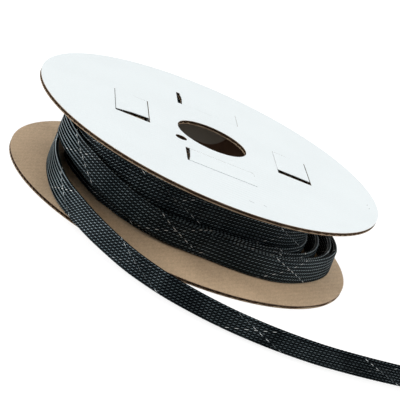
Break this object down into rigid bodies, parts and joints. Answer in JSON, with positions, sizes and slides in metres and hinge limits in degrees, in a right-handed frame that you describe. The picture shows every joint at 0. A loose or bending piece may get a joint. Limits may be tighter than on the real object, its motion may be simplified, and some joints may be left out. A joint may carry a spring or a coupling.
{
  "type": "braided cable sleeve reel",
  "caption": "Cardboard reel of flat black braided cable sleeve with white tracer threads, its free end running off to the front.",
  "frame": {"origin": "on the surface the reel lies on, under the middle of the spindle hole", "axes": "+Z along the reel's spindle, from the lower flange to the upper one; -Y is the side the free end runs along"},
  "size_m": [0.2436, 0.2117, 0.0417],
  "materials": {
    "top_board": "matte",
    "bottom_board": "matte",
    "core_board": "matte",
    "sleeve": "satin"
  },
  "bodies": {
    "root": {"bottom_flange": "bottom_board", "top_flange": "top_board", "core": "core_board", "sleeve_winding": "sleeve", "sleeve_tail": "sleeve"}
  },
  "joints": []
}
